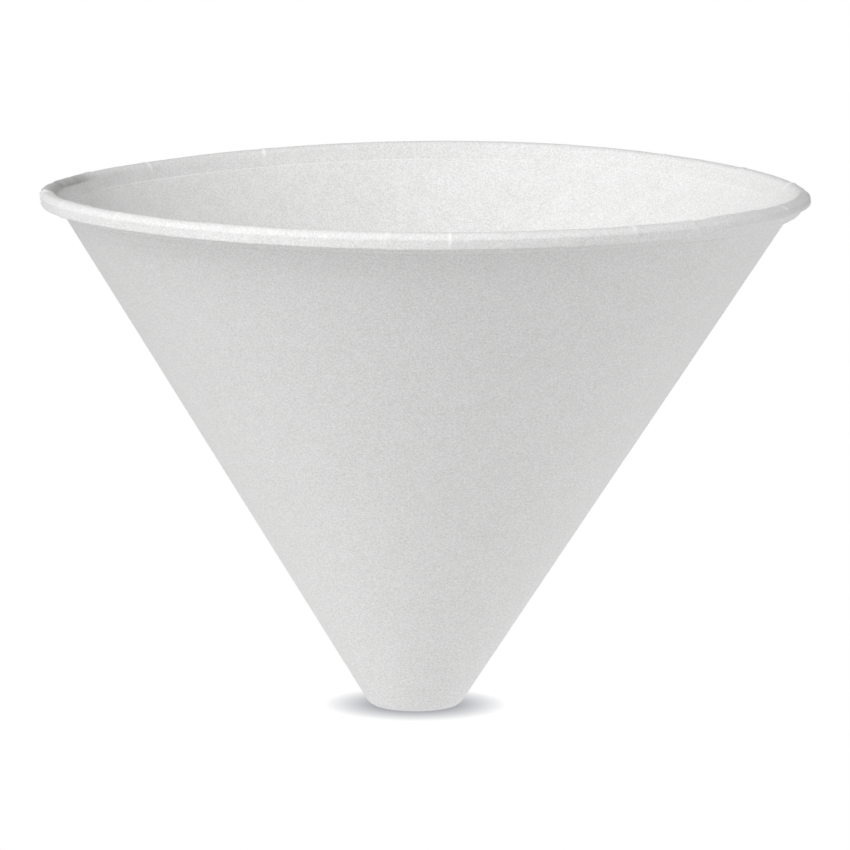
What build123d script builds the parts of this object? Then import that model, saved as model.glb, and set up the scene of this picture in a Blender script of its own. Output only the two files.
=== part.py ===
from build123d import *

import os
from math import asin, degrees, sqrt

# Cone paper cup, in millimetres. It stands on its small flat bottom: +Z is up, the
# origin is the middle of the bottom's underside, and the glued lap is on the -X side.
# The cup is one folded sheet, so the whole section is one line offset by the paper.

# The cone
rim_diameter = 118.0  # over the outside of the rolled rim
cup_height = 80.5  # from the table to the crest of the roll
floor_diameter = 13.4  # where the inside of the wall would meet the floor
floor_corner_radius = 1.7  # inside radius between floor and wall
paper_thickness = 0.3

# The collar, the steeper band between the wall's crease and the roll
collar_depth = 2.75  # from the crest of the roll down to the crease
collar_inset = 3.43  # from the outside of the roll in to the crease
crease_radius = 0.6

# The rolled rim, curled outwards, with its free end tucked down against the wall
roll_diameter = 2.66
tuck_gap = 0.3  # between the wall and the tucked end
tuck_length = 1.3
tuck_bend_radius = 0.15

# The lap, where the sheet's two straight edges are glued over each other
lap_middle_angle = 176.5
lap_angle = 9.0
lap_end_gap = 0.4  # left free at the tucked end


def up_the_wall(start, distance, outward=0.0):
    """A point up the wall from start, and to the outside of it by outward."""
    return start + wall_direction * distance + wall_normal * outward


# The face that is the inside of the cup and, past the crest, the outside of the roll.
floor_middle = Vector(0, paper_thickness)
floor_edge = Vector(floor_diameter / 2, paper_thickness)
crease = Vector(rim_diameter / 2 - collar_inset, cup_height - collar_depth)
wall_direction = (crease - floor_edge).normalized()
wall_normal = wall_direction.rotate(Axis.Z, -90)
wall_length = (crease - floor_edge).length

# The collar leaves the crease and runs into the roll as its tangent.
roll_radius = roll_diameter / 2
roll_middle = Vector(rim_diameter / 2 - roll_radius, cup_height - roll_radius)
reach = (roll_middle - crease).length
collar_length = sqrt(reach**2 - roll_radius**2)
collar_turn = degrees(asin(roll_radius / reach))
collar_direction = (roll_middle - crease).normalized().rotate(Axis.Z, collar_turn)
collar_top = crease + collar_direction * collar_length

# The roll turns over and under until it runs level towards the wall, and the tucked
# end then lies along the wall, clear of it.
roll_bottom = Vector(roll_middle.X, cup_height - roll_diameter)
roll_turn = 180 + collar_direction.get_angle(Vector(1, 0))
tuck_outward = paper_thickness * 2 + tuck_gap
beside_crease = up_the_wall(crease, 0, tuck_outward)
tuck_rise = (roll_bottom.Y - beside_crease.Y) / wall_direction.Y
tuck_top = up_the_wall(crease, tuck_rise, tuck_outward)
tuck_end = up_the_wall(tuck_top, -tuck_length)

with BuildPart() as cup:
    # The folded sheet
    with BuildSketch(Plane.XZ):
        with BuildLine():
            FilletPolyline(
                floor_middle,
                floor_edge,
                crease,
                collar_top,
                radius=[floor_corner_radius, crease_radius],
            )
            JernArc(collar_top, collar_direction, roll_radius, -roll_turn)
            FilletPolyline(roll_bottom, tuck_top, tuck_end, radius=tuck_bend_radius)
            offset(amount=paper_thickness, side=Side.RIGHT)
        make_face()
    revolve(axis=Axis.Z)

    # The second ply of the lap, on the outside of the wall
    lap_start = lap_middle_angle - lap_angle / 2
    lap_foot = floor_corner_radius + paper_thickness * 2
    lap_head = wall_length + tuck_rise - tuck_length - lap_end_gap
    lap_plane = Plane.XZ.rotated((0, 0, lap_start))
    with BuildSketch(lap_plane):
        with BuildLine():
            Line(
                up_the_wall(floor_edge, lap_foot, paper_thickness),
                up_the_wall(floor_edge, lap_head, paper_thickness),
            )
            offset(amount=paper_thickness, side=Side.RIGHT)
        make_face()
    revolve(axis=Axis.Z, revolution_arc=lap_angle)

cup.part.label = "cup"

os.makedirs("parts", exist_ok=True)
export_step(cup.part, "parts/cup.step")
print("cup", round(cup.part.volume, 1), "mm3", len(cup.part.solids()), "solid")
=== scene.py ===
import math

import bpy
from mathutils import Matrix, Vector


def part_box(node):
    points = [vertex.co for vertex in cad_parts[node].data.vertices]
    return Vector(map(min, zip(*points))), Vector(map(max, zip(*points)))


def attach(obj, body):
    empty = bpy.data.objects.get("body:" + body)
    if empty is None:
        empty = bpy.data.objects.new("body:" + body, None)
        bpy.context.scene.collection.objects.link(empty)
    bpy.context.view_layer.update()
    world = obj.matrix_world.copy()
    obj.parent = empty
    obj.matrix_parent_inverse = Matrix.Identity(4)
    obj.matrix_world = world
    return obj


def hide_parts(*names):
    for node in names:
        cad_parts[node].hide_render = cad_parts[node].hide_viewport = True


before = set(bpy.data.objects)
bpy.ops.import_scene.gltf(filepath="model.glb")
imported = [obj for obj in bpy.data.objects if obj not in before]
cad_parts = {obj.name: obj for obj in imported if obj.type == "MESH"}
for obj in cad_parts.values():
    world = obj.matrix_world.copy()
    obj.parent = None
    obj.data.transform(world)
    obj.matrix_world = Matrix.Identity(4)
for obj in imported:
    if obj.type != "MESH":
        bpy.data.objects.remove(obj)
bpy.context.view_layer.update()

mm = 0.001


def addNode(tree, kind, inputs=None, **settings):
    # inputs maps a socket's name or number to a value, to the socket that feeds it, or to a
    # node, whose first output feeds it
    node = tree.nodes.new(kind)
    for name, value in settings.items():
        setattr(node, name, value)
    for key, value in (inputs or {}).items():
        if isinstance(value, bpy.types.Node):
            value = value.outputs[0]
        if isinstance(value, bpy.types.NodeSocket):
            tree.links.new(value, node.inputs[key])
        else:
            node.inputs[key].default_value = value
    return node


def linearColour(hexCode):
    channels = [int(hexCode[i:i + 2], 16) / 255 for i in (1, 3, 5)]
    linear = [c / 12.92 if c <= 0.04045 else ((c + 0.055) / 1.055) ** 2.4 for c in channels]
    return (*linear, 1.0)


# ---- paper
paperLook = {
    "white": "#F2F2F2",
    "shade": "#DBDBDA",  # where the pulp lies thinner
    "speck": "#BDBDBA",
    "crimped": "#B4B4B2",  # painted shade: the lap stretch of roll greyed, darkest in its wrinkles' troughs
    "bared": "#FBFBFA",  # crushed or cut fibres along a crease or an edge, partly painted highlight where the creases' upper side and the tucked edge catch light
    "grain": 0.12,  # mm, single fibres and their knots
    "cloud": 1.6,  # mm, patches of thick and thin pulp
    "drift": 9.0,  # mm
    "grainShare": 0.68,
    "cloudShare": 0.22,
    "outsideCalm": 0.45,  # the outside was ironed smoother: its clouds and drift show less by this share
    "speckSpacing": 9.0,  # mm
    "speckCore": 0.01,  # share of the spacing that a speck is solid over
    "speckRim": 0.022,
    "speckDepth": 0.45,
    "bump": 0.02,  # mm
    "roughness": 0.62,
    "roughnessSpread": 0.06,
    "thinnest": 0.31,  # the pulp pattern's value where the sheet is fully shade, then fully white
    "thickest": 0.69,
}


def makePaper():
    # waxed cup stock, bleached pulp calendered between rolls: matt with a faint soft gloss,
    # and mottled where the fibres flocked together
    material = bpy.data.materials.new("waxed_cup_stock")
    material.use_nodes = True
    tree = material.node_tree
    tree.nodes.clear()
    coords = addNode(tree, "ShaderNodeTexCoord").outputs["Object"]
    grain = addNode(tree, "ShaderNodeTexNoise", {
        "Vector": coords, "Scale": 1 / (paperLook["grain"] * 2 * mm), "Detail": 0.0,
    })
    cloud = addNode(tree, "ShaderNodeTexNoise", {
        "Vector": coords, "Scale": 1 / (paperLook["cloud"] * 2 * mm), "Detail": 3.0, "Roughness": 0.6,
    })
    drift = addNode(tree, "ShaderNodeTexNoise", {
        "Vector": coords, "Scale": 1 / (paperLook["drift"] * 2 * mm), "Detail": 2.0,
    })
    cloudAndDrift = addNode(tree, "ShaderNodeMix", {
        0: paperLook["cloudShare"] / (1 - paperLook["grainShare"]),
        2: drift.outputs["Fac"], 3: cloud.outputs["Fac"],
    }, data_type="FLOAT")
    lining = addNode(tree, "ShaderNodeAttribute", attribute_name="lining")
    calm = addNode(tree, "ShaderNodeMapRange", {
        "Value": lining.outputs["Fac"], "To Min": 1 - paperLook["outsideCalm"], "To Max": 1.0,
    })
    flocked = addNode(tree, "ShaderNodeMix", {
        0: calm.outputs[0], 2: 0.5, 3: cloudAndDrift.outputs[0],
    }, data_type="FLOAT")
    pulp = addNode(tree, "ShaderNodeMix", {
        0: paperLook["grainShare"], 2: flocked.outputs[0], 3: grain.outputs["Fac"],
    }, data_type="FLOAT")
    thickness = addNode(tree, "ShaderNodeMapRange", {
        "Value": pulp.outputs[0], "From Min": paperLook["thinnest"], "From Max": paperLook["thickest"],
    })
    pulpColour = addNode(tree, "ShaderNodeMix", {
        0: thickness.outputs[0], 6: linearColour(paperLook["shade"]), 7: linearColour(paperLook["white"]),
    }, data_type="RGBA")
    specks = addNode(tree, "ShaderNodeTexVoronoi", {
        "Vector": coords, "Scale": 1 / (paperLook["speckSpacing"] * mm),
    }, feature="F1")
    speckMask = addNode(tree, "ShaderNodeMapRange", {
        "Value": specks.outputs["Distance"], "From Min": paperLook["speckCore"],
        "From Max": paperLook["speckRim"], "To Min": paperLook["speckDepth"], "To Max": 0.0,
    })
    colour = addNode(tree, "ShaderNodeMix", {
        0: speckMask.outputs[0], 6: pulpColour.outputs[2], 7: linearColour(paperLook["speck"]),
    }, data_type="RGBA")
    bared = addNode(tree, "ShaderNodeAttribute", attribute_name="bared")
    crimped = addNode(tree, "ShaderNodeAttribute", attribute_name="crimped")
    # painted shade over the lap stretch of roll
    lapShadeColour = addNode(tree, "ShaderNodeMix", {
        0: crimped.outputs["Fac"], 6: colour.outputs[2], 7: linearColour(paperLook["crimped"]),
    }, data_type="RGBA")
    # bared fibres along creases and edges, partly painted highlight
    bareAndHighlightColour = addNode(tree, "ShaderNodeMix", {
        0: bared.outputs["Fac"], 6: lapShadeColour.outputs[2], 7: linearColour(paperLook["bared"]),
    }, data_type="RGBA")
    roughness = addNode(tree, "ShaderNodeMapRange", {
        "Value": pulp.outputs[0], "From Min": 0.35, "From Max": 0.65,
        "To Min": paperLook["roughness"] + paperLook["roughnessSpread"],
        "To Max": paperLook["roughness"] - paperLook["roughnessSpread"],
    })
    bump = addNode(tree, "ShaderNodeBump", {
        "Height": pulp.outputs[0], "Strength": 0.8, "Distance": paperLook["bump"] * mm,
    })
    surface = addNode(tree, "ShaderNodeBsdfPrincipled", {
        "Base Color": bareAndHighlightColour.outputs[2], "Roughness": roughness.outputs[0],
        "IOR": 1.5, "Specular IOR Level": 0.35, "Normal": bump.outputs[0],
    })
    addNode(tree, "ShaderNodeOutputMaterial", {"Surface": surface.outputs[0]})
    return material


# ---- the sheet: its section, then one turn of it
lowest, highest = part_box("cup")
rimRadius = (highest[0] - lowest[0]) / 2
cupHeight = highest[2]

sheet = {
    "paper": 0.3,
    "floorRadius": 6.7,  # where the inside of the wall would meet the floor
    "floorBend": 1.7,
    "collarDepth": 2.75,  # crest of the roll down to the crease
    "collarInset": 3.43,  # outside of the roll in to the crease
    "creaseBend": 0.32,
    "creaseRun": 0.6,  # last of the wall before the crease, drawn finer
    "ledge": 0.22,  # the little shelf that the curling tool scored at the crease
    "ledgeTurn": 30.0,  # degrees the ledge lies from level
    "ledgeBend": 0.12,
    "collarFoot": 0.5,  # lowest of the collar, which the rim's dents don't reach
    "roll": 2.66,  # across
    "faceStart": 13.0,  # degrees above level where the roll's pressed outer face begins
    "faceLean": 4.0,  # degrees that it leans in
    "faceBend": 0.15,
    "rollDrop": 2.5,  # crest to the lower corner
    "footBend": 0.2,  # the sharp lower corner of the roll
    "tuckOut": 0.34,  # clear space between the wall and the tucked end
    "tuckLength": 1.0,
    "tuckBend": 0.2,
    "slackCrest": 0.5,  # bend at the crest of the slack stretch, which is folded more than rolled
    "slackFall": 24.0,  # degrees
    "slackCollar": 0.85,
    "slackTop": 1.1,
    "slackCurl": 0.95,  # bend where it curls under
    "slackUnder": 108.0,  # degrees that it heads down and back by the end of the curl
    "slackBelly": 0.18,
}


def drawSection(slack):
    # follows the inside of the cup up and round the roll, as (r, z, share of the rim's dents)
    t = sheet["paper"]
    rollRadius = sheet["roll"] / 2
    rollMiddle = Vector((rimRadius / mm - rollRadius, cupHeight / mm - rollRadius))
    crease = Vector((rimRadius / mm - sheet["collarInset"], cupHeight / mm - sheet["collarDepth"]))
    floorEdge = Vector((sheet["floorRadius"], t))
    wallHeading = math.atan2(crease.y - floorEdge.y, crease.x - floorEdge.x)
    ledgeHeading = math.radians(sheet["ledgeTurn"])
    ledgeEnd = crease + Vector((math.cos(ledgeHeading), math.sin(ledgeHeading))) * sheet["ledge"]
    toMiddle = rollMiddle - ledgeEnd
    collarHeading = math.atan2(toMiddle.y, toMiddle.x) + math.asin(rollRadius / toMiddle.length)
    collarLength = math.sqrt(toMiddle.length ** 2 - rollRadius ** 2)
    floorCut = sheet["floorBend"] * math.tan(wallHeading / 2)
    creaseCut = sheet["creaseBend"] * math.tan((wallHeading - ledgeHeading) / 2)
    ledgeCut = sheet["ledgeBend"] * math.tan((collarHeading - ledgeHeading) / 2)

    place = Vector((0.0, t))
    heading = 0.0
    rows = [(place.x, place.y, heading, 0.0)]

    def straight(length, steps, shareFrom=0.0, shareTo=0.0):
        nonlocal place
        for step in range(steps):
            place = place + Vector((math.cos(heading), math.sin(heading))) * (length / steps)
            share = shareFrom + (shareTo - shareFrom) * (step + 1) / steps
            rows.append((place.x, place.y, heading, share))

    def bend(radius, turn, steps, shareFrom=0.0, shareTo=0.0):
        # turns left where turn is positive
        nonlocal place, heading
        side = math.copysign(1.0, turn)
        middle = place + Vector((-math.sin(heading), math.cos(heading))) * (radius * side)
        for step in range(steps):
            heading += turn / steps
            place = middle - Vector((-math.sin(heading), math.cos(heading))) * (radius * side)
            share = shareFrom + (shareTo - shareFrom) * (step + 1) / steps
            rows.append((place.x, place.y, heading, share))

    straight(floorEdge.x - floorCut, 4)
    bend(sheet["floorBend"], wallHeading, 5)
    straight((crease - floorEdge).length - floorCut - creaseCut - sheet["creaseRun"], 11)
    straight(sheet["creaseRun"], 3)
    bend(sheet["creaseBend"], ledgeHeading - wallHeading, 3)
    straight(sheet["ledge"] - creaseCut - ledgeCut, 1)
    bend(sheet["ledgeBend"], collarHeading - ledgeHeading, 4)
    straight(sheet["collarFoot"], 2)
    straight(collarLength - ledgeCut - sheet["collarFoot"], 5, 0.0, 1.0)
    wallNormal = Vector((math.sin(wallHeading), -math.cos(wallHeading)))
    alongWall = Vector((math.cos(wallHeading), math.sin(wallHeading)))
    outside = crease + wallNormal * (t * 2 + sheet["tuckOut"])  # where the tucked end's face runs
    neckDrop = sheet["tuckLength"]
    underside = cupHeight / mm - sheet["rollDrop"]
    notch = outside + alongWall * ((underside - outside.y) / alongWall.y)
    tuckEnd = notch - alongWall * neckDrop
    lean = math.radians(sheet["faceLean"])
    if slack:
        fall = math.radians(sheet["slackFall"])
        straight(sheet["slackCollar"], 2, 1.0, 1.0)
        bend(sheet["slackCrest"], -collarHeading - fall, 6, 1.0, 1.0)
        straight(sheet["slackTop"], 4, 1.0, 1.0)
        bend(sheet["slackCurl"], fall - math.radians(sheet["slackUnder"]), 12, 1.0, 1.0)
        reach = tuckEnd - place
        for step in range(12):
            share = (step + 1) / 12
            belly = sheet["slackBelly"] * math.sin(math.pi * share) * math.sin(2.2 * math.pi * share)
            spot = place + reach * share + Vector((reach.y, -reach.x)).normalized() * belly
            rows.append((spot.x, spot.y, math.atan2(reach.y, reach.x), 1.0 - 0.6 * share))
    else:
        # round over the crest, down the pressed outer face and back in to the wall
        faceStart = math.radians(sheet["faceStart"])
        bend(rollRadius, -collarHeading - math.pi / 2 + faceStart, 14, 1.0, 1.0)
        bend(sheet["faceBend"], -lean - faceStart, 2, 1.0, 1.0)
        faceDrop = place.y - underside - sheet["footBend"] * (1 - math.sin(lean))
        straight(faceDrop / math.cos(lean), 4, 1.0, 1.0)
        bend(sheet["footBend"], lean - math.pi / 2, 4, 1.0, 1.0)
        bendCut = sheet["tuckBend"] * math.tan(wallHeading / 2)
        straight(place.x - notch.x - bendCut, 3, 1.0, 1.0)
        bend(sheet["tuckBend"], wallHeading, 4, 1.0, 0.7)
        straight(neckDrop - bendCut, 5, 0.7, 0.2)
    return rows


rollRows = 36  # rows of the section past the collar, the same in both outlines


def noteOnPoints(mesh, name, kind, values):
    field = mesh.attributes.new(name, kind, "POINT")
    for i, value in enumerate(values):
        setattr(field.data[i], "vector" if kind == "FLOAT_VECTOR" else "value", value)


def makeSection():
    # the outline's points in order, with the slack outline beside them as an attribute
    firm, loose = drawSection(False), drawSection(True)
    t = sheet["paper"]
    # the inside of the roll and the back of the ledge need few points
    sparse = list(range(len(firm) - 52, len(firm) - 40))
    sparse += list(range(len(firm) - rollRows, len(firm) - 12))
    back = [i for i in reversed(range(len(firm))) if i not in sparse or i % 3 == 0]
    points = []
    for row, other in zip(firm, loose):
        points.append((row[0], row[1], other[0], other[1], row[3]))
    for i in back:
        pair = []
        for r, z, heading, share in (firm[i], loose[i]):
            pair += [r + t * math.sin(heading), z - t * math.cos(heading)]
        points.append((max(pair[0], 0.0), pair[1], max(pair[2], 0.0), pair[3], firm[i][3]))
    mesh = bpy.data.meshes.new("section")
    mesh.from_pydata([(p[0] * mm, 0, p[1] * mm) for p in points],
                     [(i, i + 1) for i in range(len(points) - 1)], [])
    noteOnPoints(mesh, "firmPoint", "FLOAT_VECTOR", [(p[0] * mm, 0, p[1] * mm) for p in points])
    noteOnPoints(mesh, "loosePoint", "FLOAT_VECTOR", [(p[2] * mm, 0, p[3] * mm) for p in points])
    noteOnPoints(mesh, "rimShare", "FLOAT", [p[4] for p in points])
    # how white each row is scored: the ledge, then the tucked edge, whose whiteness is partly painted
    # highlight for light caught on its lower lip
    scored = {24: 0.5, 25: 1.0, 26: 0.5, len(firm) - 1: 0.8, len(firm) - 2: 0.3}
    lined = len(firm) - rollRows
    noteOnPoints(mesh, "lining", "FLOAT", [1.0 if i < lined else 0.0 for i in range(len(points))])
    noteOnPoints(mesh, "scored", "FLOAT", [scored.get(i, 0.0) for i in range(len(points))])
    section = bpy.data.objects.new("section", mesh)
    bpy.context.scene.collection.objects.link(section)
    return section, len(points)


# Creases where the curled edge buckled: degrees round the rim from +X, the height of the
# little step in mm (positive stands proud clockwise of it), the depth of its pinch, and how
# far its cracked fibres have whitened; that whitening is partly painted highlight, stronger on the roll's
# upper side
creaseList = [
    (1.4, 0.02, -0.05, 0.5), (11.4, -0.02, -0.07, 1.0), (30.6, 0.02, -0.06, 0.6), (49, 0.02, -0.02, 0.3),
    (60.6, 0.02, 0.01, 0.2), (78, 0.01, 0.01, 0.1), (97, 0.02, 0.01, 0.2), (117.1, 0.05, -0.02, 0.8),
    (130.3, -0.03, 0.01, 0.1), (140.2, 0.02, -0.08, 1.0), (155.8, -0.03, -0.02, 0.3),
    (176, 0.0, 0.0, 0.0), (188, 0.0, 0.0, 0.0),
    (201.1, -0.03, -0.05, 0.9), (208.9, -0.02, -0.05, 0.9), (218.5, -0.03, -0.06, 1.0),
    (227, 0.01, 0.0, 0.1), (236, 0.0, -0.01, 0.1), (244.3, -0.02, -0.03, 0.6), (252.3, 0.015, -0.03, 0.7),
    (264.6, -0.02, -0.04, 0.9), (273.5, -0.02, -0.03, 0.9), (281, 0.015, -0.03, 0.5),
    (292.2, 0.03, -0.02, 0.5), (301.5, -0.03, -0.04, 0.7), (312.7, 0.03, -0.05, 0.8),
    (321.2, 0.02, 0.01, 0.1), (329.4, 0.03, 0.02, 0.1), (338, -0.01, 0.0, 0.0), (347, 0.0, 0.0, 0.0),
]


def makeCreases():
    mesh = bpy.data.meshes.new("creases")
    angles = [math.radians(angle) for angle, height, depth, white in creaseList]
    mesh.from_pydata([(math.cos(a), math.sin(a), 0) for a in angles], [], [])
    noteOnPoints(mesh, "step", "FLOAT", [height * mm for angle, height, depth, white in creaseList])
    noteOnPoints(mesh, "pinch", "FLOAT", [depth * mm for angle, height, depth, white in creaseList])
    noteOnPoints(mesh, "white", "FLOAT", [white for angle, height, depth, white in creaseList])
    creases = bpy.data.objects.new("creases", mesh)
    bpy.context.scene.collection.objects.link(creases)
    return creases


form = {  # lengths in mm, angles in degrees
    "Columns": 770,
    "Gather Reach": 4.0,  # degrees each side of a crease that columns are drawn in from
    "Gather Power": 0.8,
    "Crease Edge": 0.10,
    "Crease Fade": 2.6,
    "Pinch Width": 0.22,
    "Crease Angle": 0.025,  # slope of the panels down from a crease
    "Panel Squash": 0.028,  # how far a panel between two creases is out of round
    "Panel Shift": 0.025,
    "Slack Middle": 337.5,
    "Slack Half": 24.0,
    "Slack Edge": 7.0,
    "Crowd": 0.45,  # columns crowd towards the lap, by this share
    "Lap Start": 155.8,  # over the lap the roll is two plies: larger, wrinkled and pushed in
    "Lap End": 181.0,
    "Lap Slant": 3.6,  # how much further round it ends at the crest than outside
    "Lap Tuck": 0.3,  # how far the inner ply sits inside the outer one
    "Tuck Fade": 9.0,
    "Lap Push": 0.55,
    "Push Middle": 164.0,
    "Push Half": 6.5,
    "Wrinkle Pitch": 1.25,
    "Wrinkle Depth": 0.09,
    "Blister Angle": 162.0,  # a small blister on the crease beside the lap
    "Blister Half": 2.6,
    "Blister Rise": 0.3,
    "Blister Height": 0.45,
    "Saddle": 0.464,  # the rim isn't quite flat
    "Saddle Turn": 75.5,
    "Trefoil": 0.303,
    "Trefoil Turn": -38.9,
    "Lean": 1.37,  # sideways at the rim, towards +X
    "Wall Ripple": 0.07,
    "Ripple Size": 26.0,
    "Seed": 7,
}
angleInputs = ("Gather Reach", "Lap Start", "Lap End", "Lap Slant", "Push Middle", "Push Half", "Tuck Fade",
               "Wrinkle Pitch", "Blister Angle", "Blister Half", "Slack Middle", "Slack Half", "Slack Edge",
               "Saddle Turn", "Trefoil Turn")
cutHalf = 0.0024  # radians, half the width that the cut edge's step takes up
cutWhite = 0.0045  # radians, half the width of its bared fibres
raggedness = 0.12  # radians, how unevenly the slack stretch begins and ends
raggedGrain = 14.0  # how finely
wrinkleDrift = 60.0  # how quickly the wrinkles' spacing wanders round the rim
wrinkleWander = 16.0  # and by how much
bareAndHighlightShare = {"crease": 0.45, "creaseUnder": 0.25, "score": 0.4}  # how white each shows; the creases show far whiter on the roll's upper side, painted highlight
# painted shade over the lap: its strength, and how much more it darkens the wrinkles' troughs
lapShadeShare = {"most": 0.8, "wave": 0.2}
plainInputs = ("Gather Power", "Crowd", "Crease Angle")


def makeFormTree():
    tree = bpy.data.node_groups.new("turned_sheet", "GeometryNodeTree")
    for name, kind in (("Section", "NodeSocketObject"), ("Creases", "NodeSocketObject"),
                       ("Roll Middle", "NodeSocketVector"), ("Rim Radius", "NodeSocketFloat"),
                       ("Cup Height", "NodeSocketFloat"), ("Material", "NodeSocketMaterial")):
        tree.interface.new_socket(name, in_out="INPUT", socket_type=kind)
    for name, value in form.items():
        kind = "NodeSocketInt" if isinstance(value, int) else "NodeSocketFloat"
        tree.interface.new_socket(name, in_out="INPUT", socket_type=kind)
    tree.interface.new_socket("Geometry", in_out="OUTPUT", socket_type="NodeSocketGeometry")
    given = addNode(tree, "NodeGroupInput").outputs

    sectionInfo = addNode(tree, "GeometryNodeObjectInfo", {"Object": given["Section"]})
    creaseInfo = addNode(tree, "GeometryNodeObjectInfo", {"Object": given["Creases"]})
    creases = creaseInfo.outputs["Geometry"]
    profile = addNode(tree, "GeometryNodeMeshToCurve", {0: sectionInfo.outputs["Geometry"]})

    # columns round the cup, drawn in towards the creases so that these stay sharp
    circle = addNode(tree, "GeometryNodeMeshCircle", {"Vertices": given["Columns"], "Radius": 1.0})
    here = addNode(tree, "GeometryNodeInputPosition").outputs[0]

    def nearestCrease(spot):
        index = addNode(tree, "GeometryNodeSampleNearest", {"Geometry": creases, "Sample Position": spot},
                        domain="POINT").outputs[0]
        creasePlace = addNode(tree, "GeometryNodeSampleIndex", {
            "Geometry": creases, "Value": here, "Index": index,
        }, data_type="FLOAT_VECTOR", domain="POINT").outputs[0]
        cross = addNode(tree, "ShaderNodeVectorMath", {0: creasePlace, 1: spot}, operation="CROSS_PRODUCT")
        along = addNode(tree, "ShaderNodeVectorMath", {0: creasePlace, 1: spot}, operation="DOT_PRODUCT")
        crossParts = addNode(tree, "ShaderNodeSeparateXYZ", {0: cross.outputs[0]})
        return index, creasePlace, addNode(tree, "ShaderNodeMath", {
            0: crossParts.outputs["Z"],
            1: along.outputs["Value"],
        }, operation="ARCTAN2")

    hereParts = addNode(tree, "ShaderNodeSeparateXYZ", {0: here}).outputs
    even = addNode(tree, "ShaderNodeMath", {0: hereParts["Y"], 1: hereParts["X"]}, operation="ARCTAN2")
    crowded = addNode(tree, "ShaderNodeMath", {
        0: even,
        1: addNode(tree, "ShaderNodeMath", {
            0: given["Crowd"],
            1: addNode(tree, "ShaderNodeMath", {
                0: addNode(tree, "ShaderNodeMath", {
                    0: even,
                    1: given["Push Middle"],
                }, operation="SUBTRACT"),
            }, operation="SINE"),
        }, operation="MULTIPLY"),
    }, operation="SUBTRACT")
    crowdedPlace = addNode(tree, "ShaderNodeCombineXYZ", {
        0: addNode(tree, "ShaderNodeMath", {0: crowded}, operation="COSINE"),
        1: addNode(tree, "ShaderNodeMath", {0: crowded}, operation="SINE"),
    })
    crowdedRing = addNode(tree, "GeometryNodeSetPosition", {
        "Geometry": circle.outputs["Mesh"], "Position": crowdedPlace.outputs[0],
    })
    index, creasePlace, gap = nearestCrease(here)
    closeness = addNode(tree, "ShaderNodeMath", {
        0: addNode(tree, "ShaderNodeMath", {
            0: addNode(tree, "ShaderNodeMath", {0: gap}, operation="ABSOLUTE"),
            1: given["Gather Reach"],
        }, operation="DIVIDE"),
        1: 1.0,
    }, operation="MINIMUM")
    drawnGap = addNode(tree, "ShaderNodeMath", {
        0: gap,
        1: addNode(tree, "ShaderNodeMath", {0: closeness, 1: given["Gather Power"]}, operation="POWER"),
    }, operation="MULTIPLY")
    creaseParts = addNode(tree, "ShaderNodeSeparateXYZ", {0: creasePlace}).outputs
    turn = addNode(tree, "ShaderNodeMath", {
        0: addNode(tree, "ShaderNodeMath", {
            0: creaseParts["Y"],
            1: creaseParts["X"],
        }, operation="ARCTAN2"),
        1: drawnGap,
    }, operation="ADD")
    ringPlace = addNode(tree, "ShaderNodeCombineXYZ", {
        0: addNode(tree, "ShaderNodeMath", {0: turn}, operation="COSINE"),
        1: addNode(tree, "ShaderNodeMath", {0: turn}, operation="SINE"),
    })
    gathered = addNode(tree, "GeometryNodeSetPosition", {
        "Geometry": crowdedRing.outputs[0], "Position": ringPlace.outputs[0],
    })
    ring = addNode(tree, "GeometryNodeMeshToCurve", {0: gathered.outputs[0]})
    ringNoted = addNode(tree, "GeometryNodeStoreNamedAttribute", {
        "Geometry": ring.outputs[0], "Name": "spoke", "Value": here,
    }, data_type="FLOAT_VECTOR", domain="POINT")
    turned = addNode(tree, "GeometryNodeCurveToMesh", {
        "Curve": ringNoted.outputs[0], "Profile Curve": profile.outputs[0],
    })

    # each point's place in the section, firm or slack by where it is round the rim
    spoke = addNode(tree, "GeometryNodeInputNamedAttribute", {
        "Name": "spoke",
    }, data_type="FLOAT_VECTOR").outputs[0]
    firm = addNode(tree, "GeometryNodeInputNamedAttribute", {
        "Name": "firmPoint",
    }, data_type="FLOAT_VECTOR").outputs[0]
    loose = addNode(tree, "GeometryNodeInputNamedAttribute", {
        "Name": "loosePoint",
    }, data_type="FLOAT_VECTOR").outputs[0]
    share = addNode(tree, "GeometryNodeInputNamedAttribute", {
        "Name": "rimShare",
    }, data_type="FLOAT").outputs[0]
    spokeParts = addNode(tree, "ShaderNodeSeparateXYZ", {0: spoke}).outputs
    angle = addNode(tree, "ShaderNodeMath", {
        0: spokeParts["Y"],
        1: spokeParts["X"],
    }, operation="ARCTAN2")
    ragged = addNode(tree, "ShaderNodeTexNoise", {
        "Vector": spoke, "Scale": raggedGrain, "Detail": 3.0,
    }).outputs["Fac"]
    slackGap = addNode(tree, "ShaderNodeMath", {
        0: addNode(tree, "ShaderNodeMath", {
            0: addNode(tree, "ShaderNodeMath", {
                0: angle,
                1: given["Slack Middle"],
            }, operation="SUBTRACT"),
        }, operation="SINE"),
        1: addNode(tree, "ShaderNodeMath", {
            0: addNode(tree, "ShaderNodeMath", {
                0: angle,
                1: given["Slack Middle"],
            }, operation="SUBTRACT"),
        }, operation="COSINE"),
    }, operation="ARCTAN2")
    raggedGap = addNode(tree, "ShaderNodeMath", {
        0: addNode(tree, "ShaderNodeMath", {0: slackGap}, operation="ABSOLUTE"),
        1: addNode(tree, "ShaderNodeMath", {
            0: addNode(tree, "ShaderNodeMath", {0: ragged, 1: 0.5}, operation="SUBTRACT"),
            1: raggedness,
        }, operation="MULTIPLY"),
    }, operation="ADD")
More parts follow.
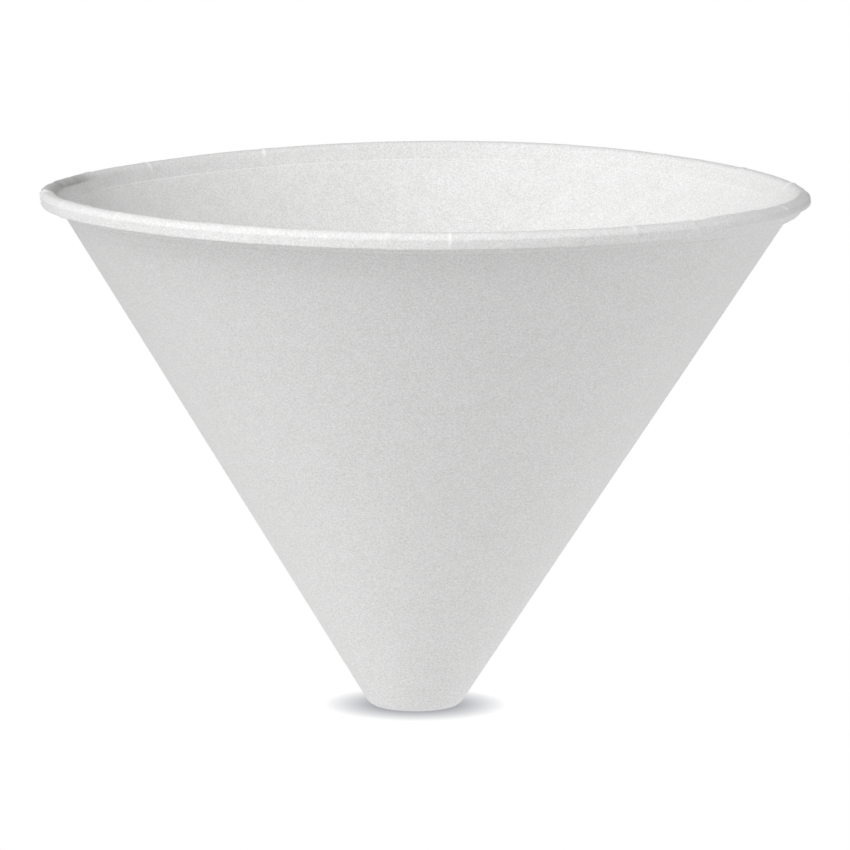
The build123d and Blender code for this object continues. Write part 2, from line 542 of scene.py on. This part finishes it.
    slackness = addNode(tree, "ShaderNodeMapRange", {
        "Value": raggedGap,
        "From Min": addNode(tree, "ShaderNodeMath", {
            0: given["Slack Half"],
            1: given["Slack Edge"],
        }, operation="SUBTRACT"),
        "From Max": given["Slack Half"],
        "To Min": 1.0,
        "To Max": 0.0,
    }, interpolation_type="SMOOTHSTEP").outputs[0]
    place = addNode(tree, "ShaderNodeMix", {0: slackness, 4: firm, 5: loose}, data_type="VECTOR").outputs[1]

    # creases, and the panels of roll between them
    index, creasePlace, gap = nearestCrease(spoke)
    reach = addNode(tree, "ShaderNodeMath", {0: gap, 1: given["Rim Radius"]}, operation="MULTIPLY")
    creaseNotes = []
    for name in ("step", "pinch", "white"):
        note = addNode(tree, "GeometryNodeInputNamedAttribute", {"Name": name}, data_type="FLOAT")
        creaseNotes.append(addNode(tree, "GeometryNodeSampleIndex", {
            "Geometry": creases, "Index": index, "Value": note,
        }, data_type="FLOAT", domain="POINT"))
    step, pinch, white = creaseNotes
    fade = addNode(tree, "ShaderNodeMath", {
        0: addNode(tree, "ShaderNodeMath", {
            0: addNode(tree, "ShaderNodeMath", {
                0: addNode(tree, "ShaderNodeMath", {0: reach}, operation="ABSOLUTE"),
                1: given["Crease Fade"],
            }, operation="DIVIDE"),
            1: -1.0,
        }, operation="MULTIPLY"),
    }, operation="EXPONENT")
    slopeShape = addNode(tree, "ShaderNodeMath", {
        0: addNode(tree, "ShaderNodeMath", {
            0: addNode(tree, "ShaderNodeMath", {0: reach}, operation="ABSOLUTE"),
            1: given["Crease Angle"],
        }, operation="MULTIPLY"),
        1: fade,
    }, operation="MULTIPLY")
    stepShape = addNode(tree, "ShaderNodeMath", {
        0: addNode(tree, "ShaderNodeMath", {
            0: addNode(tree, "ShaderNodeMath", {0: reach, 1: given["Crease Edge"]}, operation="DIVIDE"),
        }, operation="TANH"),
        1: fade,
    }, operation="MULTIPLY")
    pinchGap = addNode(tree, "ShaderNodeMath", {0: reach, 1: given["Pinch Width"]}, operation="DIVIDE")
    pinchShape = addNode(tree, "ShaderNodeMath", {
        0: addNode(tree, "ShaderNodeMath", {
            0: addNode(tree, "ShaderNodeMath", {0: pinchGap, 1: pinchGap}, operation="MULTIPLY"),
            1: -1.0,
        }, operation="MULTIPLY"),
    }, operation="EXPONENT")
    fromMiddle = addNode(tree, "ShaderNodeVectorMath", {
        0: place, 1: given["Roll Middle"],
    }, operation="SUBTRACT")
    outward = addNode(tree, "ShaderNodeVectorMath", {
        0: fromMiddle.outputs[0],
    }, operation="NORMALIZE").outputs[0]
    outwardParts = addNode(tree, "ShaderNodeSeparateXYZ", {0: outward}).outputs
    roundRoll = addNode(tree, "ShaderNodeMath", {
        0: outwardParts["Z"],
        1: outwardParts["X"],
    }, operation="ARCTAN2")
    panel = addNode(tree, "ShaderNodeMath", {
        0: index,
        1: addNode(tree, "ShaderNodeMath", {0: gap, 1: 0.0}, operation="LESS_THAN"),
    }, operation="SUBTRACT")
    panel = addNode(tree, "ShaderNodeMath", {
        0: panel,
        1: float(len(creaseList)),
    }, operation="FLOORED_MODULO")
    squashTurn = addNode(tree, "FunctionNodeRandomValue", {
        2: 0.0, 3: math.tau, "ID": panel, "Seed": given["Seed"],
    }, data_type="FLOAT").outputs[1]
    squash = addNode(tree, "ShaderNodeMath", {
        0: given["Panel Squash"],
        1: addNode(tree, "ShaderNodeMath", {
            0: addNode(tree, "ShaderNodeMath", {
                0: addNode(tree, "ShaderNodeMath", {0: roundRoll, 1: 2.0}, operation="MULTIPLY"),
                1: squashTurn,
            }, operation="ADD"),
        }, operation="COSINE"),
    }, operation="MULTIPLY")
    swell = addNode(tree, "ShaderNodeMath", {
        0: squash,
        1: addNode(tree, "ShaderNodeMath", {
            0: addNode(tree, "ShaderNodeMath", {0: step, 1: stepShape}, operation="MULTIPLY"),
            1: addNode(tree, "ShaderNodeMath", {
                0: addNode(tree, "ShaderNodeMath", {0: pinch, 1: pinchShape}, operation="MULTIPLY"),
                1: slopeShape,
            }, operation="ADD"),
        }, operation="ADD"),
    }, operation="SUBTRACT")
    shift = addNode(tree, "FunctionNodeRandomValue", {
        0: (-1.0, 0.0, -1.0),
        1: (1.0, 0.0, 1.0),
        "ID": panel,
        "Seed": addNode(tree, "ShaderNodeMath", {0: given["Seed"], 1: 1.0}, operation="ADD"),
    }, data_type="FLOAT_VECTOR").outputs[0]
    shifted = addNode(tree, "ShaderNodeVectorMath", {
        0: shift,
        "Scale": addNode(tree, "ShaderNodeMath", {
            0: share,
            1: given["Panel Shift"],
        }, operation="MULTIPLY"),
    }, operation="SCALE").outputs[0]
    swollen = addNode(tree, "ShaderNodeVectorMath", {
        0: outward,
        "Scale": addNode(tree, "ShaderNodeMath", {0: share, 1: swell}, operation="MULTIPLY"),
    }, operation="SCALE").outputs[0]
    place = addNode(tree, "ShaderNodeVectorMath", {0: place, 1: swollen}, operation="ADD").outputs[0]
    place = addNode(tree, "ShaderNodeVectorMath", {0: place, 1: shifted}, operation="ADD").outputs[0]

    # the lap's thicker, wrinkled stretch of roll, which ends in the outer ply's cut edge
    wholeTurn = addNode(tree, "ShaderNodeMath", {0: angle, 1: math.tau}, operation="FLOORED_MODULO")
    lapRise = addNode(tree, "ShaderNodeMapRange", {
        "Value": wholeTurn, "From Min": given["Lap Start"], "From Max": given["Push Middle"],
    }, interpolation_type="SMOOTHSTEP").outputs[0]
    outerShare = addNode(tree, "ShaderNodeMath", {
        0: addNode(tree, "ShaderNodeMath", {0: outwardParts["X"], 1: 0.0}, operation="MAXIMUM"),
        1: 1.0,
    }, operation="MINIMUM")
    lapEnd = addNode(tree, "ShaderNodeMath", {
        0: given["Lap End"],
        1: addNode(tree, "ShaderNodeMath", {
            0: given["Lap Slant"],
            1: addNode(tree, "ShaderNodeMath", {0: 1.0, 1: outerShare}, operation="SUBTRACT"),
        }, operation="MULTIPLY"),
    }, operation="ADD")
    lapDrop = addNode(tree, "ShaderNodeMapRange", {
        "Value": wholeTurn,
        "From Min": addNode(tree, "ShaderNodeMath", {0: lapEnd, 1: cutHalf}, operation="SUBTRACT"),
        "From Max": addNode(tree, "ShaderNodeMath", {0: lapEnd, 1: cutHalf}, operation="ADD"),
        "To Min": 1.0,
        "To Max": 0.0,
    }).outputs[0]
    lapShare = addNode(tree, "ShaderNodeMath", {
        0: share,
        1: addNode(tree, "ShaderNodeMath", {0: lapRise, 1: lapDrop}, operation="MULTIPLY"),
    }, operation="MULTIPLY")
    unevenness = addNode(tree, "ShaderNodeTexNoise", {
        "W": addNode(tree, "ShaderNodeMath", {0: wholeTurn, 1: wrinkleDrift}, operation="MULTIPLY"),
        "Scale": 1.0,
        "Detail": 2.0,
    }, noise_dimensions="1D").outputs["Fac"]
    wrinkleTurn = addNode(tree, "ShaderNodeMath", {
        0: addNode(tree, "ShaderNodeMath", {
            0: addNode(tree, "ShaderNodeMath", {0: wholeTurn, 1: math.tau}, operation="MULTIPLY"),
            1: given["Wrinkle Pitch"],
        }, operation="DIVIDE"),
        1: addNode(tree, "ShaderNodeMath", {0: unevenness, 1: wrinkleWander}, operation="MULTIPLY"),
    }, operation="ADD")
    wrinkle = addNode(tree, "ShaderNodeMath", {
        0: addNode(tree, "ShaderNodeMath", {0: wrinkleTurn}, operation="SINE"),
        1: given["Wrinkle Depth"],
    }, operation="MULTIPLY")
    pastLap = addNode(tree, "ShaderNodeMath", {
        0: addNode(tree, "ShaderNodeMath", {0: wholeTurn, 1: lapEnd}, operation="SUBTRACT"),
        1: 0.0,
    }, operation="MAXIMUM")
    tucked = addNode(tree, "ShaderNodeMath", {
        0: addNode(tree, "ShaderNodeMath", {
            0: addNode(tree, "ShaderNodeMath", {0: pastLap, 1: given["Tuck Fade"]}, operation="DIVIDE"),
            1: -1.0,
        }, operation="MULTIPLY"),
    }, operation="EXPONENT")
    tucked = addNode(tree, "ShaderNodeMath", {
        0: addNode(tree, "ShaderNodeMath", {
            0: tucked,
            1: addNode(tree, "ShaderNodeMath", {0: 1.0, 1: lapDrop}, operation="SUBTRACT"),
        }, operation="MULTIPLY"),
        1: addNode(tree, "ShaderNodeMath", {0: share, 1: given["Lap Tuck"]}, operation="MULTIPLY"),
    }, operation="MULTIPLY")
    tuckSide = addNode(tree, "ShaderNodeMapRange", {
        "Value": outwardParts["X"], "From Min": -0.5, "From Max": 0.1,
    }, interpolation_type="SMOOTHSTEP").outputs[0]
    tucked = addNode(tree, "ShaderNodeMath", {0: tucked, 1: tuckSide}, operation="MULTIPLY")
    lapSwell = addNode(tree, "ShaderNodeVectorMath", {
        0: outward,
        "Scale": addNode(tree, "ShaderNodeMath", {
            0: addNode(tree, "ShaderNodeMath", {0: lapShare, 1: wrinkle}, operation="MULTIPLY"),
            1: tucked,
        }, operation="SUBTRACT"),
    }, operation="SCALE").outputs[0]
    pushGap = addNode(tree, "ShaderNodeMath", {
        0: addNode(tree, "ShaderNodeMath", {
            0: wholeTurn,
            1: given["Push Middle"],
        }, operation="SUBTRACT"),
        1: given["Push Half"],
    }, operation="DIVIDE")
    pushShape = addNode(tree, "ShaderNodeMath", {
        0: addNode(tree, "ShaderNodeMath", {
            0: addNode(tree, "ShaderNodeMath", {0: pushGap, 1: pushGap}, operation="MULTIPLY"),
            1: -1.0,
        }, operation="MULTIPLY"),
    }, operation="EXPONENT")
    parts = addNode(tree, "ShaderNodeSeparateXYZ", {0: place}).outputs
    blisterAcross = addNode(tree, "ShaderNodeMath", {
        0: addNode(tree, "ShaderNodeMath", {
            0: wholeTurn,
            1: given["Blister Angle"],
        }, operation="SUBTRACT"),
        1: given["Blister Half"],
    }, operation="DIVIDE")
    blisterUp = addNode(tree, "ShaderNodeMath", {
        0: addNode(tree, "ShaderNodeMath", {
            0: parts["Z"],
            1: (cupHeight / mm - sheet["collarDepth"]) * mm,
        }, operation="SUBTRACT"),
        1: given["Blister Height"],
    }, operation="DIVIDE")
    blister = addNode(tree, "ShaderNodeMath", {
        0: addNode(tree, "ShaderNodeMath", {
            0: -1.0,
            1: addNode(tree, "ShaderNodeMath", {
                0: addNode(tree, "ShaderNodeMath", {
                    0: blisterAcross,
                    1: blisterAcross,
                }, operation="MULTIPLY"),
                1: addNode(tree, "ShaderNodeMath", {0: blisterUp, 1: blisterUp}, operation="MULTIPLY"),
            }, operation="ADD"),
        }, operation="MULTIPLY"),
    }, operation="EXPONENT")
    rollShare = addNode(tree, "ShaderNodeMath", {
        0: addNode(tree, "ShaderNodeMath", {0: share, 1: share}, operation="MULTIPLY"),
        1: addNode(tree, "ShaderNodeMath", {0: share, 1: share}, operation="MULTIPLY"),
    }, operation="MULTIPLY")
    inward = addNode(tree, "ShaderNodeMath", {
        0: addNode(tree, "ShaderNodeMath", {
            0: addNode(tree, "ShaderNodeMath", {
                0: addNode(tree, "ShaderNodeMath", {0: rollShare, 1: lapDrop}, operation="MULTIPLY"),
                1: pushShape,
            }, operation="MULTIPLY"),
            1: given["Lap Push"],
        }, operation="MULTIPLY"),
        1: addNode(tree, "ShaderNodeMath", {
            0: blister,
            1: given["Blister Rise"],
        }, operation="MULTIPLY"),
    }, operation="ADD")
    lapPush = addNode(tree, "ShaderNodeCombineXYZ", {
        0: addNode(tree, "ShaderNodeMath", {0: inward, 1: -1.0}, operation="MULTIPLY"),
    }).outputs[0]
    place = addNode(tree, "ShaderNodeVectorMath", {0: place, 1: lapSwell}, operation="ADD").outputs[0]
    place = addNode(tree, "ShaderNodeVectorMath", {0: place, 1: lapPush}, operation="ADD").outputs[0]

    # where the sheet is scored, creased or cut its fibres show whiter; this is partly painted highlight, as
    # the creases show whiter on the roll's upper side and the tucked edge whiter where light would catch its
    # lip
    scored = addNode(tree, "GeometryNodeInputNamedAttribute", {
        "Name": "scored",
    }, data_type="FLOAT").outputs[0]
    cutEdge = addNode(tree, "ShaderNodeMath", {
        0: addNode(tree, "ShaderNodeMath", {
            0: addNode(tree, "ShaderNodeMath", {0: wholeTurn, 1: lapEnd}, operation="SUBTRACT"),
        }, operation="ABSOLUTE"),
        1: cutWhite,
    }, operation="LESS_THAN")
    # painted highlight: the creases' whitening is stronger towards the roll's upper side
    upperSide = addNode(tree, "ShaderNodeMapRange", {
        "Value": outwardParts["Z"], "From Min": -0.35, "From Max": 0.5,
    }, interpolation_type="SMOOTHSTEP").outputs[0]
    creased = addNode(tree, "ShaderNodeMath", {
        0: addNode(tree, "ShaderNodeMath", {0: pinchShape, 1: white}, operation="MULTIPLY"),
        1: addNode(tree, "ShaderNodeMath", {0: share, 1: share}, operation="MULTIPLY"),
    }, operation="MULTIPLY")
    creased = addNode(tree, "ShaderNodeMath", {
        0: creased,
        1: addNode(tree, "ShaderNodeMath", {
            0: addNode(tree, "ShaderNodeMath", {0: upperSide, 1: bareAndHighlightShare["creaseUnder"]}, operation="ADD"),
            1: bareAndHighlightShare["crease"],
        }, operation="MULTIPLY"),
    }, operation="MULTIPLY")
    bared = addNode(tree, "ShaderNodeMath", {
        0: addNode(tree, "ShaderNodeMath", {
            0: creased,
            1: addNode(tree, "ShaderNodeMath", {0: scored, 1: bareAndHighlightShare["score"]}, operation="MULTIPLY"),
        }, operation="MAXIMUM"),
        1: addNode(tree, "ShaderNodeMath", {
            0: addNode(tree, "ShaderNodeMath", {0: cutEdge, 1: share}, operation="MULTIPLY"),
            1: tuckSide,
        }, operation="MULTIPLY"),
    }, operation="MAXIMUM")
    # painted shade: the lap stretch of roll is greyer, most of all in its wrinkles' troughs
    lapShadeDepth = addNode(tree, "ShaderNodeMath", {
        0: lapShadeShare["most"],
        1: addNode(tree, "ShaderNodeMath", {
            0: addNode(tree, "ShaderNodeMath", {0: wrinkleTurn}, operation="SINE"),
            1: lapShadeShare["wave"],
        }, operation="MULTIPLY"),
    }, operation="SUBTRACT")
    crimped = addNode(tree, "ShaderNodeMath", {
        0: addNode(tree, "ShaderNodeMath", {
            0: addNode(tree, "ShaderNodeMath", {0: rollShare, 1: lapRise}, operation="MULTIPLY"),
            1: lapDrop,
        }, operation="MULTIPLY"),
        1: lapShadeDepth,
    }, operation="MULTIPLY")
    lapShadeNoted = addNode(tree, "GeometryNodeStoreNamedAttribute", {
        "Geometry": turned.outputs[0], "Name": "crimped", "Value": crimped,
    }, data_type="FLOAT", domain="POINT")
    noted = addNode(tree, "GeometryNodeStoreNamedAttribute", {
        "Geometry": lapShadeNoted.outputs[0], "Name": "bared", "Value": bared,
    }, data_type="FLOAT", domain="POINT")

    # round the axis, then the warp of the whole cup
    parts = addNode(tree, "ShaderNodeSeparateXYZ", {0: place}).outputs
    height = addNode(tree, "ShaderNodeMath", {
        0: parts["Z"],
        1: given["Cup Height"],
    }, operation="DIVIDE")
    rippleSpot = addNode(tree, "ShaderNodeVectorMath", {
        0: spoke,
        "Scale": addNode(tree, "ShaderNodeMath", {
            0: parts["X"],
            1: addNode(tree, "ShaderNodeMath", {0: 1.0, 1: given["Ripple Size"]}, operation="DIVIDE"),
        }, operation="MULTIPLY"),
    }, operation="SCALE").outputs[0]
    ripple = addNode(tree, "ShaderNodeTexNoise", {
        "Vector": rippleSpot, "Scale": 1.0, "Detail": 1.0,
    }).outputs["Fac"]
    ripple = addNode(tree, "ShaderNodeMath", {
        0: addNode(tree, "ShaderNodeMath", {0: ripple, 1: 0.5}, operation="SUBTRACT"),
        1: addNode(tree, "ShaderNodeMath", {
            0: given["Wall Ripple"],
            1: addNode(tree, "ShaderNodeMath", {0: height, 1: 4.0}, operation="MULTIPLY"),
        }, operation="MULTIPLY"),
    }, operation="MULTIPLY")
    radius = addNode(tree, "ShaderNodeMath", {0: parts["X"], 1: ripple}, operation="ADD")
    saddle = addNode(tree, "ShaderNodeMath", {
        0: given["Saddle"],
        1: addNode(tree, "ShaderNodeMath", {
            0: addNode(tree, "ShaderNodeMath", {
                0: addNode(tree, "ShaderNodeMath", {
                    0: angle,
                    1: given["Saddle Turn"],
                }, operation="SUBTRACT"),
                1: 2.0,
            }, operation="MULTIPLY"),
        }, operation="COSINE"),
    }, operation="MULTIPLY")
    trefoil = addNode(tree, "ShaderNodeMath", {
        0: given["Trefoil"],
        1: addNode(tree, "ShaderNodeMath", {
            0: addNode(tree, "ShaderNodeMath", {
                0: addNode(tree, "ShaderNodeMath", {
                    0: angle,
                    1: given["Trefoil Turn"],
                }, operation="SUBTRACT"),
                1: 3.0,
            }, operation="MULTIPLY"),
        }, operation="COSINE"),
    }, operation="MULTIPLY")
    warp = addNode(tree, "ShaderNodeMath", {
        0: addNode(tree, "ShaderNodeMath", {0: saddle, 1: trefoil}, operation="ADD"),
        1: addNode(tree, "ShaderNodeMath", {0: height, 1: height}, operation="MULTIPLY"),
    }, operation="MULTIPLY")
    final = addNode(tree, "ShaderNodeCombineXYZ", {
        0: addNode(tree, "ShaderNodeMath", {
            0: addNode(tree, "ShaderNodeMath", {0: spokeParts["X"], 1: radius}, operation="MULTIPLY"),
            1: addNode(tree, "ShaderNodeMath", {0: given["Lean"], 1: height}, operation="MULTIPLY"),
        }, operation="ADD"),
        1: addNode(tree, "ShaderNodeMath", {0: spokeParts["Y"], 1: radius}, operation="MULTIPLY"),
        2: addNode(tree, "ShaderNodeMath", {0: parts["Z"], 1: warp}, operation="ADD"),
    }).outputs[0]
    placed = addNode(tree, "GeometryNodeSetPosition", {"Geometry": noted.outputs[0], "Position": final})
    merged = addNode(tree, "GeometryNodeMergeByDistance", {
        "Geometry": placed.outputs[0], "Distance": 0.002 * mm,
    })
    smooth = addNode(tree, "GeometryNodeSetShadeSmooth", {"Geometry": merged.outputs[0]})
    real = addNode(tree, "GeometryNodeRealizeInstances", {"Geometry": smooth.outputs[0]})
    covered = addNode(tree, "GeometryNodeSetMaterial", {
        "Geometry": real.outputs[0], "Material": given["Material"],
    })
    addNode(tree, "NodeGroupOutput", {"Geometry": covered.outputs[0]})
    return tree


def makeCup(paper):
    section, rows = makeSection()
    creases = makeCreases()
    tree = makeFormTree()
    holder = bpy.data.objects.new("cup_form", bpy.data.meshes.new("cup_form"))
    bpy.context.scene.collection.objects.link(holder)
    modifier = holder.modifiers.new("turned_sheet", "NODES")
    modifier.node_group = tree
    rollRadius = sheet["roll"] / 2 * mm
    values = {
        "Section": section, "Creases": creases, "Material": paper,
        "Roll Middle": (rimRadius - rollRadius, 0.0, cupHeight - rollRadius),
        "Rim Radius": rimRadius, "Cup Height": cupHeight,
    }
    for name, value in form.items():
        if name in angleInputs:
            value = math.radians(value)
        elif isinstance(value, float) and name not in plainInputs:
            value = value * mm
        values[name] = value
    for item in tree.interface.items_tree:
        if item.in_out == "INPUT":
            modifier[item.identifier] = values[item.name]
    bpy.context.view_layer.update()
    evaluated = holder.evaluated_get(bpy.context.evaluated_depsgraph_get())
    mesh = bpy.data.meshes.new_from_object(evaluated)
    cup = bpy.data.objects.new("paper_cup", mesh)
    bpy.context.scene.collection.objects.link(cup)
    for spent in (holder, section, creases):
        bpy.data.objects.remove(spent)
    triangles = sum(len(p.vertices) - 2 for p in mesh.polygons)
    print("cup:", rows, "rows,", len(mesh.vertices), "points,", triangles, "triangles")
    return cup


# ---- table, light and camera
studio = {
    "distance": 1100.0,  # mm, camera to the cup's axis
    "height": 209.95,
    "side": 1.39,
    "pitch": 8.598,
    "roll": 0.217,
    "lens": 306.5,
    "tableRadius": 3.0,  # m
    "wallHeight": 2.0,
    "paintedContactShade": "#AEAFB4",  # painted contact shadow: the table's glow darkens to this where the foot stands closest over it, the same all round
    "contactReach": 6.0,  # mm
    "contactOpen": 0.25,  # how much of the sky is left right beside the foot
    "lightFromTable": 0.093,  # W
    "underGlow": 0.53,  # the room's own light, from below and above the table's level
    "overLeft": 0.7,
    "boxAway": 1.3,  # m
    "boxLift": 0.04,
    "boxSize": 0.7,
    "tableLamp": 0.3,
}
softboxes = {  # degrees round from +X, degrees up, W
    "key": (-135, 48, 8.2),
    "front": (-90, 48, 4.8),
    "front_right": (-45, 48, 0.6),
    "low_left": (-135, 12, 2.3),
    "low_front_right": (-45, 12, 1.1),
    "low_right": (0, 12, 4.8),
}


def makeCamera():
    data = bpy.data.cameras.new("camera")
    data.lens = studio["lens"]
    data.sensor_width = 36.0
    data.clip_start = 0.05
    data.clip_end = 20.0
    camera = bpy.data.objects.new("camera", data)
    bpy.context.scene.collection.objects.link(camera)
    place = Matrix.Translation(Vector((studio["side"], -studio["distance"], studio["height"])) * mm)
    tilt = Matrix.Rotation(math.radians(90 - studio["pitch"]), 4, "X")
    roll = Matrix.Rotation(math.radians(studio["roll"]), 4, "Z")
    camera.matrix_world = place @ tilt @ roll
    bpy.context.scene.camera = camera


def makeTable():
    # a white light table, seen by the camera only, that glows evenly; a lamp below it shines up through it
    # on to the cup. Its glow carries a painted contact shadow, darker where something close over it hides the
    # room
    material = bpy.data.materials.new("white_light_table")
    material.use_nodes = True
    tree = material.node_tree
    tree.nodes.clear()
    # painted shade: ambient occlusion darkens the glow towards the contact shadow colour near the foot
    openness = addNode(tree, "ShaderNodeAmbientOcclusion", {
        "Distance": studio["contactReach"] * mm,
    }, samples=16)
    clear = addNode(tree, "ShaderNodeMapRange", {
        "Value": openness.outputs["AO"], "From Min": studio["contactOpen"], "From Max": 1.0,
    })
    colour = addNode(tree, "ShaderNodeMix", {
        0: clear.outputs[0], 6: linearColour(studio["paintedContactShade"]), 7: (1.0, 1.0, 1.0, 1.0),
    }, data_type="RGBA")
    glow = addNode(tree, "ShaderNodeEmission", {"Color": colour.outputs[2]})
    addNode(tree, "ShaderNodeOutputMaterial", {"Surface": glow.outputs[0]})

    # a round table whose far edge curves up into a wall
    rings = [(0.0, 0.0), (0.3, 0.0), (0.9, 0.0), (0.96, 0.04), (0.99, 0.2), (1.0, 1.0)]
    around = 96
    points = []
    for out, up in rings[1:]:
        for i in range(around):
            angle = math.tau * i / around
            points.append((studio["tableRadius"] * out * math.cos(angle),
                           studio["tableRadius"] * out * math.sin(angle), studio["wallHeight"] * up))
    faces = [list(range(around))]
    for ring in range(len(rings) - 2):
        for i in range(around):
            a, b = ring * around + i, ring * around + (i + 1) % around
            faces.append((a, b, b + around, a + around))
    mesh = bpy.data.meshes.new("table")
    mesh.from_pydata(points, [], faces)
    mesh.materials.append(material)
    table = bpy.data.objects.new("table", mesh)
    table.visible_diffuse = False
    table.visible_glossy = False
    table.visible_shadow = False
    bpy.context.scene.collection.objects.link(table)
    return table


def addLamp(name, place, towards, size, power):
    data = bpy.data.lights.new(name, "AREA")
    data.shape = "SQUARE"
    data.size = size
    data.energy = power
    lamp = bpy.data.objects.new(name, data)
    bpy.context.scene.collection.objects.link(lamp)
    lamp.matrix_world = Matrix.Translation(place) @ towards.to_track_quat("-Z", "Y").to_matrix().to_4x4()
    return lamp


def makeLights():
    middle = Vector((0, 0, cupHeight * 0.6))
    for name, (around, up, power) in softboxes.items():
        around, up = math.radians(around), math.radians(up)
        place = Vector((math.cos(around) * math.cos(up), math.sin(around) * math.cos(up), math.sin(up)))
        place *= studio["boxAway"]
        place.z += studio["boxLift"]
        addLamp(name, place, middle - place, studio["boxSize"], power)
    below = Vector((0, 0, -0.01))
    addLamp("under_table", below, Vector((0, 0, 1)), studio["tableLamp"], studio["lightFromTable"])


def makeRoom():
    # soft light from the room: from the table all round, and from a window side on the left
    world = bpy.data.worlds.new("studio")
    bpy.context.scene.world = world
    world.use_nodes = True
    tree = world.node_tree
    tree.nodes.clear()
    coords = addNode(tree, "ShaderNodeTexCoord").outputs["Generated"]
    parts = addNode(tree, "ShaderNodeSeparateXYZ", {0: coords}).outputs
    over = addNode(tree, "ShaderNodeMapRange", {"Value": parts["Z"], "From Min": -0.06, "From Max": 0.06})
    under = addNode(tree, "ShaderNodeMath", {0: 1.0, 1: over.outputs[0]}, operation="SUBTRACT")
    left = addNode(tree, "ShaderNodeMath", {0: parts["X"], 1: 0.0}, operation="MINIMUM")
    lowPart = addNode(tree, "ShaderNodeMath", {
        0: under.outputs[0], 1: studio["underGlow"],
    }, operation="MULTIPLY")
    high = addNode(tree, "ShaderNodeMath", {0: left.outputs[0], 1: -studio["overLeft"]}, operation="MULTIPLY")
    light = addNode(tree, "ShaderNodeMath", {
        0: high.outputs[0], 1: over.outputs[0], 2: lowPart.outputs[0],
    }, operation="MULTIPLY_ADD")
    background = addNode(tree, "ShaderNodeBackground", {
        "Color": (1.0, 1.0, 1.0, 1.0), "Strength": light.outputs[0],
    })
    addNode(tree, "ShaderNodeOutputWorld", {"Surface": background.outputs[0]})


paper = makePaper()
cup = makeCup(paper)
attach(cup, "root")
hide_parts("cup")

makeCamera()
makeTable()
makeLights()
makeRoom()
bpy.context.scene.view_settings.view_transform = "Standard"
print("studio: table,", len(softboxes) + 1, "lamps and camera")
